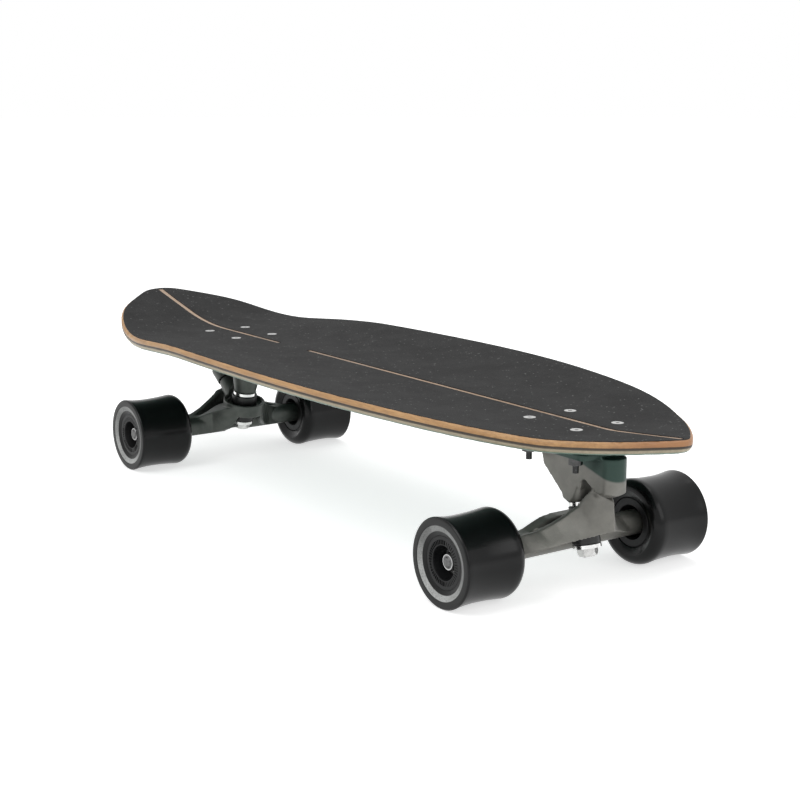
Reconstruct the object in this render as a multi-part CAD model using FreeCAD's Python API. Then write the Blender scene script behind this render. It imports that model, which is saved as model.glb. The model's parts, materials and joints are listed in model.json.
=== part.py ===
import FreeCAD, Part
import math
import os

V = FreeCAD.Vector
ORIGIN = V(0, 0, 0)
UP = V(0, 0, 1)
ACROSS = V(0, 1, 0)

# Driving dimensions, in millimetres and degrees.
# The nose points along +X, the left side along +Y, and the wheels stand on Z = 0.

# Deck outline: shares of half the length and of half the width, from tail tip to nose tip
deck_length = 810.0
deck_width = 255.0
outline_shares = (
    (-1.000, 0.000), (-0.990, 0.136), (-0.966, 0.238), (-0.882, 0.512), (-0.783, 0.677), (-0.647, 0.806),
    (-0.548, 0.885), (-0.430, 0.926), (-0.222, 0.970), (0.050, 1.000),
    (0.294, 0.976), (0.491, 0.897), (0.640, 0.789), (0.763, 0.630), (0.862, 0.436),
    (0.942, 0.221), (0.982, 0.093), (1.000, 0.000),
)

# Deck cross-section and side profile
pan_half_width = 26.0
concave_rise = 10.0
concave_fade_start = 130.0
concave_fade_length = 190.0
tail_bend_radius = 330.0
tail_angle = 13.3
nose_bend_radius = 200.0
nose_angle = 5.7
tail_bend_from_bolts = 6.0
nose_bend_from_bolts = 7.0

# Plies, from the top down, and the sheet that covers them
top_plies = 4.5
dark_ply = 1.2
lower_plies = 4.0
bottom_veneer = 0.9
grip_thickness = 0.6
grip_inset = 2.0
slot_width = 5.0
slot_gap_centre = -121.5
slot_gap_length = 53.0
slot_end_margin = 6.0

# Trucks on the deck
wheelbase = 517.0
wheelbase_centre = 19.0
front_bolts_ahead = 6.1
rear_bolts_ahead = 16.1
bolt_pitch_x = 53.975
bolt_pitch_y = 41.275
truck_height = 78.3
riser_thickness = 4.4

# Deck bolts and nuts
bolt_shank_radius = 2.4
bolt_head_radius = 4.75
bolt_head_rim = 0.6
bolt_length = 33.0
bolt_hex_flats = 3.2
bolt_hex_depth = 1.6
bolt_nut_flats = 9.5
bolt_nut_height = 5.8
bolt_hole_gap = 0.25
head_gap = 0.08

# Base plates
flange_thickness = 5.3
flange_width = 57.2
flange_corner = 8.0
front_flange_rear = 9.6
front_flange_front = 17.0
rear_flange_rear = 27.0
rear_flange_front = 9.6

# Kingpin stack, along the kingpin from the seat of the base down
kingpin_radius = 4.76
kingpin_fit = 0.12
head_radius = 7.4
head_height = 5.5
pocket_gap = 0.6
washer_thickness = 1.5
washer_lip = 1.2
front_upper_bushing_height = 14.6
rear_upper_bushing_height = 12.0
ring_thickness = 8.5
lower_bushing_height = 10.0
kingpin_nut_flats = 14.3
kingpin_nut_height = 6.2
kingpin_end_reach = 0.8
ring_hole_radius = 7.6

# Steering pivot
pivot_pin_radius = 4.8
pivot_pin_reach = 8.0
pivot_cup_radius = 7.0
pivot_cup_floor = 2.0
pivot_gap = 1.2
running_gap = 0.05
press_gap = 0.02

# Hanger and axle
axle_radius = 3.97
axle_half_length = 115.4
beam_radius = 10.0
shoulder_y = 82.5
rise_end_y = 62.0

# Wheels and bearings
wheel_diameter = 70.0
wheel_width = 56.5
wheel_inner_gap = 17.1
tread_waist = 1.6
waist_from_outer = 21.0
lip_bevel = 1.2
inner_shoulder = 7.0
face_dish = 3.2
core_radius = 20.5
core_inset = 3.6
hub_radius = 12.6
bearing_radius = 11.0
bearing_width = 7.0
outer_race_radius = 9.4
inner_race_radius = 6.1
ball_radius = 1.98
ball_circle = 7.75
ball_count = 7
groove_gap = 0.06
cage_half_width = 2.6
cage_half_thickness = 0.45
shield_thickness = 0.35
shield_inset = 0.1
shield_gap = 0.25
spacer_length = 10.0
spacer_radius = 5.9
speed_washer_thickness = 1.0
speed_washer_radius = 6.0
axle_nut_flats = 12.7
axle_nut_height = 6.2

# Sizes that follow from the driving dimensions
axle_z = wheel_diameter / 2
deck_thickness = top_plies + dark_ply + lower_plies + bottom_veneer
deck_under_z = axle_z + truck_height + riser_thickness
deck_top_z = deck_under_z + deck_thickness
flange_under_z = axle_z + truck_height - flange_thickness
front_axle_x = wheelbase_centre + wheelbase / 2
rear_axle_x = wheelbase_centre - wheelbase / 2
front_bolts_x = front_axle_x + front_bolts_ahead
rear_bolts_x = rear_axle_x + rear_bolts_ahead
tail_bend_x = rear_bolts_x - bolt_pitch_x / 2 - tail_bend_from_bolts
nose_bend_x = front_bolts_x + bolt_pitch_x / 2 + nose_bend_from_bolts
wheel_inner_y = shoulder_y - wheel_inner_gap
wheel_outer_y = wheel_inner_y + wheel_width
inner_bearing_y = shoulder_y + speed_washer_thickness
outer_bearing_y = inner_bearing_y + bearing_width + spacer_length
outer_washer_y = outer_bearing_y + bearing_width
axle_nut_y = outer_washer_y + speed_washer_thickness


def tangent(degrees):
    return math.tan(math.radians(degrees))


def polar(angle, radius=1.0):
    """A vector in the XZ plane, its angle measured from +X towards +Z."""
    a = math.radians(angle)
    return V(radius * math.cos(a), 0, radius * math.sin(a))


def rod(start, direction, radius, length):
    return Part.makeCylinder(radius, length, start, direction)


def tube(start, direction, outer, inner, length):
    return rod(start, direction, outer, length).cut(rod(start, direction, inner, length))


def plate(points, half_thickness):
    """A flat piece from an outline in the XZ plane, thick on both sides of Y = 0."""
    loop = [V(p.x, -half_thickness, p.z) for p in points]
    face = Part.Face(Part.makePolygon(loop + loop[:1]))
    return face.extrude(V(0, 2 * half_thickness, 0))


def hexagon(start, direction, flats, length):
    corner = flats / math.sqrt(3)
    loop = [V(corner * math.cos(i * math.pi / 3), corner * math.sin(i * math.pi / 3), 0) for i in range(7)]
    prism = Part.Face(Part.makePolygon(loop)).extrude(V(0, 0, length))
    prism.Placement = FreeCAD.Placement(start, FreeCAD.Rotation(UP, direction))
    return prism


def ruled(sections):
    """A solid with flat-sided skins through a row of closed outlines."""
    wires = [Part.makePolygon(loop + loop[:1]) for loop in sections]
    return Part.makeLoft(wires, True, True)


def mirrored(shape):
    return shape.mirror(ORIGIN, ACROSS)


def joined(shapes):
    first = shapes[0]
    return first.fuse(shapes[1:]).removeSplitter()


def export(name, shapes):
    """Writes one node: a single solid, or a group of separate ones."""
    solids = [s for shape in shapes for s in shape.Solids]
    body = solids[0] if len(solids) == 1 else Part.makeCompound(solids)
    body.exportStep(os.path.join("parts", name + ".step"))
    volume = sum(s.Volume for s in solids)
    print(f"{name:28s} solids {len(solids):3d} volume {volume:11.1f} valid {body.isValid()}")


# Deck

def kick_rise(run, radius, angle):
    """Height gained at a distance past the start of an upturned end: an arc, then straight."""
    bend = radius * math.sin(math.radians(angle))
    if run <= 0:
        return 0.0
    if run <= bend:
        return radius - math.sqrt(radius * radius - run * run)
    return radius * (1 - math.cos(math.radians(angle))) + (run - bend) * tangent(angle)


def profile_rise(x):
    tail = kick_rise(tail_bend_x - x, tail_bend_radius, tail_angle)
    nose = kick_rise(x - nose_bend_x, nose_bend_radius, nose_angle)
    return tail + nose


def rail_rise(x, y):
    """The concave: a flat pan, then sides that curve up, less towards the tail."""
    side = max(abs(y) - pan_half_width, 0.0) / (deck_width / 2 - 2 - pan_half_width)
    fade = min(max((x + concave_fade_start + concave_fade_length) / concave_fade_length, 0.0), 1.0)
    fade = fade * fade * (3 - 2 * fade)
    return concave_rise * fade * side * side * (1.6 - 0.6 * side)


def skin_patch(x0, x1, y0, y1, level):
    """One patch of the curved deck skin, at a height above the top ply."""
    nx = max(4, math.ceil((x1 - x0) / 12) + 1)
    ny = max(4, math.ceil((y1 - y0) / 10) + 1)
    dx = (x1 - x0) / (nx - 1)
    dy = (y1 - y0) / (ny - 1)
    heights = []
    for i in range(nx):
        x = x0 + i * dx
        base = deck_top_z + level + profile_rise(x)
        heights.append([base + rail_rise(x, y0 + j * dy) for j in range(ny)])
    surface = Part.BSplineSurface()
    surface.interpolate(heights, x0, dx, y0, dy)
    return surface.toShape()


def deck_skin(level):
    """The whole skin as nine patches, with a true plane where the pan runs level."""
    x_cuts = (-deck_length / 2 - 15, tail_bend_x, nose_bend_x, deck_length / 2 + 15)
    edge = deck_width / 2 + 8
    y_cuts = (-edge, -pan_half_width, pan_half_width, edge)
    patches = []
    for i in range(3):
        for j in range(3):
            x0, x1, y0, y1 = x_cuts[i], x_cuts[i + 1], y_cuts[j], y_cuts[j + 1]
            if i == 1 and j == 1:
                z = deck_top_z + level
                loop = [V(x0, y0, z), V(x1, y0, z), V(x1, y1, z), V(x0, y1, z)]
                patches.append(Part.Face(Part.makePolygon(loop + loop[:1])))
            else:
                patches.append(skin_patch(x0, x1, y0, y1, level))
    return patches


def closed_curve(points):
    curve = Part.BSplineCurve()
    curve.interpolate(points, PeriodicFlag=True)
    return curve


def deck_outline(inset=0.0):
    """The deck seen from above, or the same curve drawn that far inside it."""
    left = [V(s * deck_length / 2, w * deck_width / 2, 0) for s, w in outline_shares]
    right = [V(p.x, -p.y, 0) for p in reversed(left[1:-1])]
    curve = closed_curve(left + right)
    if inset > 0:
        knots = curve.getKnots()
        inner = []
        for a, b in zip(knots, knots[1:]):
            for i in range(3):
                point, along = curve.getD1(a + (b - a) * i / 3)
                along.normalize()
                inner.append(point + V(along.y, -along.x, 0) * inset)
        curve = closed_curve(inner)
    return Part.Wire(curve.toShape())


def layers(outline, levels):
    """The outline's tall block, cut at each level of the skin. Gives the layers from the top down."""
    low = V(0, 0, deck_top_z - 40)
    block = Part.Face(outline).extrude(V(0, 0, 90))
    block.translate(low)
    skins = [patch for level in levels for patch in deck_skin(level)]
    pieces = block.generalFuse(skins)[0].Solids
    pieces.sort(key=lambda s: -s.CenterOfMass.z)
    return pieces[1:-1]


def bolt_places(centre_x):
    return [
        (centre_x + i * bolt_pitch_x / 2, j * bolt_pitch_y / 2)
        for i in (-1, 1)
        for j in (-1, 1)
    ]


def bolt_head(x, y, gap):
    """The countersunk head, or with a gap the room for it."""
    top = deck_top_z + grip_thickness
    radius = bolt_head_radius + gap
    rim = bolt_head_rim + gap
    depth = radius - bolt_shank_radius
    cone = Part.makeCone(radius, bolt_shank_radius, depth, V(x, y, top - rim), -UP)
    return rod(V(x, y, top), -UP, radius, rim).fuse(cone)


def deck_bolt(x, y):
    top = deck_top_z + grip_thickness
    shank = rod(V(x, y, top), -UP, bolt_shank_radius, bolt_length)
    socket = hexagon(V(x, y, top), -UP, bolt_hex_flats, bolt_hex_depth)
    return bolt_head(x, y, 0.0).fuse(shank).cut(socket).removeSplitter()


def deck_nut(x, y):
    start = V(x, y, flange_under_z)
    body = hexagon(start, -UP, bolt_nut_flats, bolt_nut_height)
    return body.cut(rod(start, -UP, bolt_shank_radius + press_gap, bolt_nut_height))


def bolt_room(x, y):
    """What a deck bolt needs cut from the plies, the grip and the base."""
    top = deck_top_z + grip_thickness
    hole = rod(V(x, y, top), -UP, bolt_shank_radius + bolt_hole_gap, 60)
    return bolt_head(x, y, head_gap).fuse(hole)


def stripe_slots():
    """The bare stripe on the centre line, open in the grip, with a gap where the sheet runs on."""
    ends = deck_length / 2 - slot_end_margin
    gap_rear = slot_gap_centre - slot_gap_length / 2
    gap_front = slot_gap_centre + slot_gap_length / 2
    spans = ((-ends, gap_rear), (gap_front, ends))
    low = deck_top_z - 5
    return [Part.makeBox(b - a, slot_width, 60, V(a, -slot_width / 2, low)) for a, b in spans]


def make_deck():
    outline = deck_outline()
    levels = [0.0]
    for thickness in (top_plies, dark_ply, lower_plies, bottom_veneer):
        levels.append(levels[-1] - thickness)
    rooms = [bolt_room(x, y) for c in (front_bolts_x, rear_bolts_x) for x, y in bolt_places(c)]
    names = ("deck_top_plies", "deck_dark_ply", "deck_lower_plies", "deck_bottom_veneer")
    for name, ply in zip(names, layers(outline, levels)):
        export(name, [ply.cut(rooms)])
    grip = layers(deck_outline(grip_inset), [grip_thickness, 0.0])[0]
    export("grip_tape", [grip.cut(rooms + stripe_slots())])
    for end, centre in (("front", front_bolts_x), ("rear", rear_bolts_x)):
        places = bolt_places(centre)
        export(end + "_truck_bolts", [deck_bolt(x, y) for x, y in places])
        export(end + "_truck_nuts", [deck_nut(x, y) for x, y in places])


# Trucks

class Truck:
    """Where one truck's axes lie. Its points are given from the axle, along X and up."""

    def __init__(self, name, axle_x, bolts_x, seat, tilt, steer_angle, mouth, head_seat, upper, sizes):
        self.name = name
        self.axle_x = axle_x
        self.bolts_x = bolts_x
        self.seat = self.at(*seat)
        self.down = polar(-90 + tilt)
        self.flat = V(-self.down.z, 0, self.down.x)
        self.upper_height = upper
        self.ring_top = washer_thickness + upper
        self.ring_low = self.ring_top + ring_thickness
        self.ring_centre = self.along(self.ring_top + ring_thickness / 2)
        self.steer = polar(steer_angle)
        self.mouth = self.ring_centre + self.steer * mouth
        self.mouth_distance = mouth
        self.head_seat = head_seat
        self.upper_washer_radius, self.upper_bushing_radius = sizes[0:2]
        self.lower_washer_radius, self.lower_bushing_radius = sizes[2:4]
        self.well_radius, self.recess_radius = sizes[4:6]

    def at(self, x, z, y=0.0):
        return V(self.axle_x + x, y, axle_z + z)

    def along(self, distance):
        """A point on the kingpin's axis, that far below the seat of the base."""
        return self.seat + self.down * distance

    def in_ring(self, a, b, distance):
        """A point at a level of the kingpin, a along the deck and b across it."""
        return self.along(distance) + self.flat * a + ACROSS * b


front = Truck(
    "front", front_axle_x, front_bolts_x,
    seat=(16.9, 32.5), tilt=13.5, steer_angle=59.5, mouth=40.6, head_seat=34.0,
    upper=front_upper_bushing_height,
    sizes=(9.6, 10.2, 11.2, 11.0, 15.0, 16.0),
)
rear = Truck(
    "rear", rear_axle_x, rear_bolts_x,
    seat=(22.4, 34.5), tilt=-11.3, steer_angle=145.0, mouth=41.0, head_seat=31.0,
    upper=rear_upper_bushing_height,
    sizes=(11.7, 12.9, 11.2, 11.5, 18.0, 16.6),
)


def flange_box(truck, z, thickness):
    if truck is front:
        behind, ahead = front_flange_rear, front_flange_front
    else:
        behind, ahead = rear_flange_rear, rear_flange_front
    x0 = truck.bolts_x - bolt_pitch_x / 2 - behind
    x1 = truck.bolts_x + bolt_pitch_x / 2 + ahead
    box = Part.makeBox(x1 - x0, flange_width, thickness, V(x0, -flange_width / 2, z))
    upright = [e for e in box.Edges if abs(e.tangentAt(e.FirstParameter).z) > 0.99]
    return box.makeFillet(flange_corner, upright)


def shank_holes(truck):
    top = V(0, 0, deck_top_z)
    return [
        rod(V(x, y, 0) + top, -UP, bolt_shank_radius + bolt_hole_gap, 60)
        for x, y in bolt_places(truck.bolts_x)
    ]


def base_cuts(truck):
    """Bores for the deck bolts, the kingpin with its head, and the pivot cup."""
    radius = kingpin_radius + kingpin_fit
    bore = rod(truck.along(-truck.head_seat - 30), truck.down, radius, truck.head_seat + 40)
    pocket = rod(truck.along(-truck.head_seat), -truck.down, head_radius + pocket_gap, 30)
    cup_depth = pivot_pin_reach + pivot_pin_radius + running_gap + pivot_cup_floor
    cup = rod(truck.mouth - truck.steer * 4, truck.steer, pivot_cup_radius + press_gap, cup_depth + 4)
    below_seat = rod(truck.along(0), truck.down, 30, 25)
    return shank_holes(truck) + [bore, pocket, cup, below_seat]


def front_base_solids(truck):
    """A wedge that narrows to the bushing seat, and ahead of it the pivot housing."""
    half, nose = 10.4, 61.2
    top = truck_height - flange_thickness + 1
    across_mouth = V(-truck.steer.z, 0, truck.steer.x)
    rim_rear = truck.mouth + across_mouth * 11.5
    rim_front = truck.mouth - across_mouth * 12.5
    seat_rear = truck.in_ring(-9.3, 0, 0)
    seat_front = truck.in_ring(8.8, 0, 0)
    outline = [
        truck.at(-18.5, top), truck.at(-18, 66), truck.at(-15.5, 57), truck.at(6.4, 38), seat_rear,
        seat_front, truck.at(28, 51), truck.at(30.5, 53.6), rim_rear, rim_front,
        truck.at(nose - 3, 45), truck.at(nose, 53), truck.at(nose, top),
    ]
    wedge = plate(outline, half)
    nose_edges = [
        e for e in wedge.Edges
        if e.BoundBox.XMin > truck.axle_x + nose - 0.1 and e.BoundBox.YLength < 0.01
    ]
    wedge = wedge.makeFillet(half - 0.4, nose_edges)
    up = -truck.down
    foot = rod(truck.seat, up, 16.5, 8).cut(Part.makeCone(9.4, 16.5, 8, truck.seat, up))
    ahead = rod(truck.seat, up, 15, 14).cut(Part.makeCone(9.4, 15, 14, truck.seat, up))
    ahead = ahead.common(Part.makeBox(30, 60, 60, truck.seat + V(0, -30, -30)))
    rim = rod(truck.mouth, truck.steer, 18.8, 11)
    rim = rim.cut(Part.makeCone(10.8, 18.8, 11, truck.mouth, truck.steer))
    rim = rim.common(Part.makeBox(60, 60, 60, truck.at(40, 20, -30)))
    boss = rod(truck.seat, up, 9.4, 22)
    return [wedge.cut([foot, ahead, rim]), boss]


def rear_base_solids(truck):
    """A round boss for the bushing seat, and behind it the inclined pivot housing."""
    top = truck_height - flange_thickness + 1
    boss = Part.makeCone(10.8, 18, 38, truck.along(0), -truck.down)
    housing = rod(truck.mouth, truck.steer, 9.6, 17)
    back = truck.mouth + truck.steer * 17
    above = truck.mouth + V(truck.steer.z, 0, -truck.steer.x) * 9.0 + truck.steer * 2
    web = plate([above, back, V(back.x - 3, 0, axle_z + top), truck.at(4, top), truck.at(4, 56)], 8.0)
    rib = plate([truck.at(-4, 55), truck.at(24, 48), truck.at(24, top), truck.at(-16, top)], 4.5)
    return [boss, housing, web, rib]


def make_base(truck):
    flange = flange_box(truck, flange_under_z, flange_thickness)
    solids = front_base_solids(truck) if truck is front else rear_base_solids(truck)
    above = Part.makeBox(400, 200, 80, V(truck.axle_x - 200, -100, flange_under_z + flange_thickness))
    base = joined([flange] + solids).cut(base_cuts(truck) + [above])
    export(truck.name + "_base", [max(base.Solids, key=lambda s: s.Volume)])
    pad = flange_box(truck, flange_under_z + flange_thickness, riser_thickness)
    export(truck.name + "_riser_pad", [pad.cut(shank_holes(truck))])


def make_kingpin(truck):
    stack = truck.ring_low + lower_bushing_height + washer_thickness
    end = stack + kingpin_nut_height + kingpin_end_reach
    shaft = rod(truck.along(-truck.head_seat), truck.down, kingpin_radius, truck.head_seat + end)
    head = rod(truck.along(-truck.head_seat), -truck.down, head_radius, head_height)
    export(truck.name + "_kingpin", [shaft.fuse(head).removeSplitter()])
    nut = hexagon(truck.along(stack), truck.down, kingpin_nut_flats, kingpin_nut_height)
    bevel = Part.makeCone(9.6, 7.0, kingpin_nut_height, truck.along(stack), truck.down)
    bore = rod(truck.along(stack), truck.down, kingpin_radius + press_gap, kingpin_nut_height)
    export(truck.name + "_kingpin_nut", [nut.common(bevel).cut(bore)])


def cup_washer(truck, distance, toward, radius):
    """A washer with a lip that holds the bushing's end."""
    start = truck.along(distance)
    disc = rod(start, toward, radius, washer_thickness + washer_lip)
    hollow = rod(start + toward * washer_thickness, toward, radius - 1.1, washer_lip + 1)
    bore = rod(start - toward, toward, kingpin_radius + kingpin_fit, 6)
    return disc.cut([hollow, bore])


def bushing(truck, distance, toward, radius, washer_radius, height):
    """A soft ring, necked where the washer's lip grips it."""
    start = truck.along(distance)
    neck = rod(start, toward, washer_radius - 1.2, washer_lip + 0.6)
    barrel = rod(start + toward * (washer_lip + 0.6), toward, radius, height - washer_lip - 0.6)
    bore = rod(start - toward, toward, kingpin_radius + kingpin_fit, height + 2)
    return neck.fuse(barrel).cut(bore).removeSplitter()


def make_bushings(truck):
    """Washer and bushing above the hanger's ring, and the same below it."""
    name = truck.name
    down, up = truck.down, -truck.down
    low_end = truck.ring_low + lower_bushing_height + washer_thickness
    export(name + "_upper_washer", [cup_washer(truck, 0, down, truck.upper_washer_radius)])
    export(name + "_upper_bushing", [bushing(
        truck, washer_thickness, down, truck.upper_bushing_radius,
        truck.upper_washer_radius, truck.upper_height)])
    export(name + "_lower_washer", [cup_washer(truck, low_end, up, truck.lower_washer_radius)])
    export(name + "_lower_bushing", [bushing(
        truck, low_end - washer_thickness, up, truck.lower_bushing_radius,
        truck.lower_washer_radius, lower_bushing_height)])


def pivot_pin(truck, gap):
    """The round-ended pin on the steering axis, or with a gap its room in the cup."""
    start = truck.mouth - truck.steer * (pivot_gap + 2)
    reach = pivot_pin_reach + pivot_gap + 2
    radius = pivot_pin_radius + gap
    pin = rod(start, truck.steer, radius, reach)
    tip = Part.makeSphere(radius, start + truck.steer * reach)
    return pin.fuse(tip).removeSplitter()


def make_pivot_cup(truck):
    depth = pivot_pin_reach + pivot_pin_radius + running_gap + pivot_cup_floor
    cup = rod(truck.mouth, truck.steer, pivot_cup_radius, depth)
    export(truck.name + "_pivot_cup", [cup.cut(pivot_pin(truck, running_gap))])


# Hangers
# Each side wall of a hanger runs from the pivot's neck to the end of the beam. A station gives the
# distance from the middle, then the foot and the crest of the wall's outer face, as X and height.
front_wall = (
    (0, 55.5, 17.0, 53.5, 43.5), (8, 50.0, 14.5, 40.0, 46.5), (13, 46.0, 12.5, 31.0, 33.5),
    (19, 41.5, 10.5, 24.0, 26.0), (27, 35.0, 7.5, 18.0, 19.3), (36, 28.0, 4.0, 12.0, 13.6),
    (49, 18.0, -1.0, 5.5, 10.0), (62, 9.0, -4.5, 3.0, 9.0),
)
rear_wall = (
    (0, -27.0, 4.0, -19.0, 33.0), (10, -24.5, 2.5, -20.0, 29.5), (16, -22.0, 1.5, -19.0, 24.5),
    (24, -18.5, -0.5, -17.0, 20.0), (34, -15.0, -2.0, -13.0, 15.5), (46, -11.5, -4.0, -7.0, 12.5),
    (62, -9.0, -5.0, -1.0, 9.7),
)
rear_apron = (
    (12, 31.0, 10.0, 37.0, 21.0), (17, 27.0, 2.0, 33.0, 20.6), (23, 21.0, -4.0, 25.0, 18.6),
    (33, 12.0, -7.5, 11.5, 14.0), (47, 8.0, -8.0, 5.5, 9.0), (62, 7.0, -8.2, 5.0, 8.4),
)


def side_wall(truck, stations, inward):
    """One wall, its thickness laid off inwards from the outer face."""
    sections = []
    for y, foot_x, foot_z, crest_x, crest_z in stations:
        sections.append([
            truck.at(foot_x, foot_z, y), truck.at(crest_x, crest_z, y),
            truck.at(crest_x + inward * 0.75, crest_z - 1.5, y), truck.at(foot_x + inward, foot_z, y),
        ])
    return ruled(sections)


def apron(truck, stations):
    """One wing on the nose side of the rear hanger, solid from its outer face to the beam."""
    sections = []
    for y, foot_x, foot_z, crest_x, crest_z in stations:
        sections.append([
            truck.at(foot_x, foot_z, y), truck.at(crest_x, crest_z, y),
            truck.at(0, crest_z - 1.0, y), truck.at(0, foot_z, y),
        ])
    return ruled(sections)


def ring_plate(truck, outline, top, thickness):
    """A flat web in the ring's plane. The outline is half of it, from the middle outwards."""
    half = [truck.in_ring(a, b, top) for a, b in outline]
    other = [truck.in_ring(a, -b, top) for a, b in reversed(outline)]
    loop = half + other
    return Part.Face(Part.makePolygon(loop + loop[:1])).extrude(truck.down * thickness)


def front_hanger_solids(truck):
    """A beam with a humped back wall, the swept walls of the prow, and the web round the ring."""
    hump = [(-62, -4), (-62, 8.2), (-49, 9.0), (-38, 10.8), (-28, 14.6), (-19, 17.6), (-9, 18.8)]
    loop = [truck.at(-8.0, z, y) for y, z in hump]
    loop += [truck.at(-8.0, z, -y) for y, z in reversed(hump)]
    back = Part.Face(Part.makePolygon(loop + loop[:1])).extrude(V(11.0, 0, 0))
    walls = side_wall(truck, front_wall, -8.5)
    web = ring_plate(truck, [(26, 6), (0, 24), (-14, 32), (-26, 32)], truck.ring_top, ring_thickness)
    return [back, walls, mirrored(walls), web]


def rear_hanger_solids(truck):
    """A beam with swept walls that rise to the pivot arm, and a dished ring ahead of it."""
    walls = side_wall(truck, rear_wall, 8.0)
    wings = apron(truck, rear_apron)
    top = truck.ring_top - 4.0
    dish = rod(truck.along(top), truck.down, 21.0, ring_thickness + 3)
    low = truck.ring_centre + truck.steer * 12
    arm = Part.makeCone(12, 8.8, truck.mouth_distance - 12 - pivot_gap, low, truck.steer)
    rib = plate([
        truck.at(-10, 5), truck.at(-30, 5), truck.at(-27.5, 22), truck.at(-22, 30), truck.at(-12, 34),
    ], 3.6)
    return [walls, mirrored(walls), wings, mirrored(wings), dish, arm, rib]


def make_hanger(truck):
    end = truck.at(0, 0, -shoulder_y)
    beam = rod(end, ACROSS, beam_radius, 2 * shoulder_y)
    ring = rod(truck.along(truck.ring_top), truck.down, truck.well_radius + 3.0, ring_thickness)
    reach = truck.mouth_distance - pivot_gap
    if truck is front:
        shapes = front_hanger_solids(truck)
        low = truck.ring_centre + truck.steer * 14
        shapes.append(Part.makeCone(6.5, 8.7, reach - 14, low, truck.steer))
    else:
        shapes = rear_hanger_solids(truck)
    past_mouth = rod(truck.mouth - truck.steer * pivot_gap, truck.steer, 40, 40)
    body = joined([beam, ring] + shapes).cut(past_mouth).fuse(pivot_pin(truck, 0.0))
    well = rod(truck.along(truck.ring_top), -truck.down, truck.well_radius, 27)
    recess = rod(truck.along(truck.ring_low), truck.down, truck.recess_radius, 40)
    hole = rod(truck.along(truck.ring_top - 2), truck.down, ring_hole_radius, ring_thickness + 4)
    bore = rod(truck.at(0, 0, -shoulder_y - 1), ACROSS, axle_radius + press_gap, 2 * shoulder_y + 2)
    body = body.cut([well, recess, hole, bore])
    export(truck.name + "_hanger", [max(body.Solids, key=lambda s: s.Volume)])


# Axles, bearings and wheels, made on the left side and mirrored to the right

def turned(truck, points):
    """A body of revolution about the axle. Each point is a distance from the middle and a radius."""
    loop = [truck.at(0, r, y) for y, r in points]
    face = Part.Face(Part.makePolygon(loop + loop[:1]))
    return face.revolve(truck.at(0, 0), ACROSS, 360)


def collar(truck, y, inner, outer, length):
    return tube(truck.at(0, 0, y), ACROSS, outer, inner, length)


def bearing_starts():
    return (inner_bearing_y, outer_bearing_y)


def ball_track(truck, y):
    centre = truck.at(0, 0, y + bearing_width / 2)
    return Part.makeTorus(ball_circle, ball_radius + groove_gap, centre, ACROSS)


def make_axle(truck):
    name = truck.name
    shaft = rod(truck.at(0, 0, -axle_half_length), ACROSS, axle_radius, 2 * axle_half_length)
    export(name + "_axle", [shaft.makeChamfer(0.8, [e for e in shaft.Edges if e.Closed])])
    bore = axle_radius + press_gap
    start = truck.at(0, 0, axle_nut_y)
    nut = hexagon(start, ACROSS, axle_nut_flats, axle_nut_height)
    bevel = Part.makeCone(8.6, 5.9, axle_nut_height, start, ACROSS)
    nut = nut.common(bevel).cut(rod(start, ACROSS, bore, axle_nut_height))
    washers = [
        collar(truck, y, bore, speed_washer_radius, speed_washer_thickness)
        for y in (shoulder_y, outer_washer_y)
    ]
    races = [
        collar(truck, y, bore, inner_race_radius, bearing_width).cut(ball_track(truck, y))
        for y in bearing_starts()
    ]
    spacer = collar(truck, inner_bearing_y + bearing_width, bore, spacer_radius, spacer_length)
    groups = (("axle_nuts", [nut]), ("speed_washers", washers),
              ("bearing_inner_rings", races), ("bearing_spacers", [spacer]))
    for kind, left in groups:
        export(f"{name}_{kind}", left + [mirrored(s) for s in left])


def tyre(truck):
    """The soft wheel: a waisted tread, a crisp outer lip and a rounded inner shoulder."""
    radius = wheel_diameter / 2
    y_in, y_out = wheel_inner_y, wheel_outer_y
    waist = truck.at(0, radius - tread_waist, y_out - waist_from_outer)
    tread_out = truck.at(0, radius, y_out - lip_bevel)
    tread_in = truck.at(0, radius, y_in + inner_shoulder + 1.5)
    bend = inner_shoulder * (1 - math.sqrt(0.5))
    shoulder = truck.at(0, radius - bend - 0.3, y_in + bend + 0.6)
    inner_rim = truck.at(0, radius - inner_shoulder - 1.0, y_in)
    lip = truck.at(0, radius - lip_bevel, y_out)
    face_in = truck.at(0, radius - lip_bevel - 4.6, y_out)
    core_out = truck.at(0, core_radius, y_out - face_dish)
    core_in = truck.at(0, core_radius, y_in + face_dish)
    edges = [
        Part.Arc(tread_out, waist, tread_in).toShape(),
        Part.Arc(tread_in, shoulder, inner_rim).toShape(),
        Part.LineSegment(inner_rim, core_in).toShape(),
        Part.LineSegment(core_in, core_out).toShape(),
        Part.LineSegment(core_out, face_in).toShape(),
        Part.LineSegment(face_in, lip).toShape(),
        Part.LineSegment(lip, tread_out).toShape(),
    ]
    return Part.Face(Part.Wire(edges)).revolve(truck.at(0, 0), ACROSS, 360)


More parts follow.
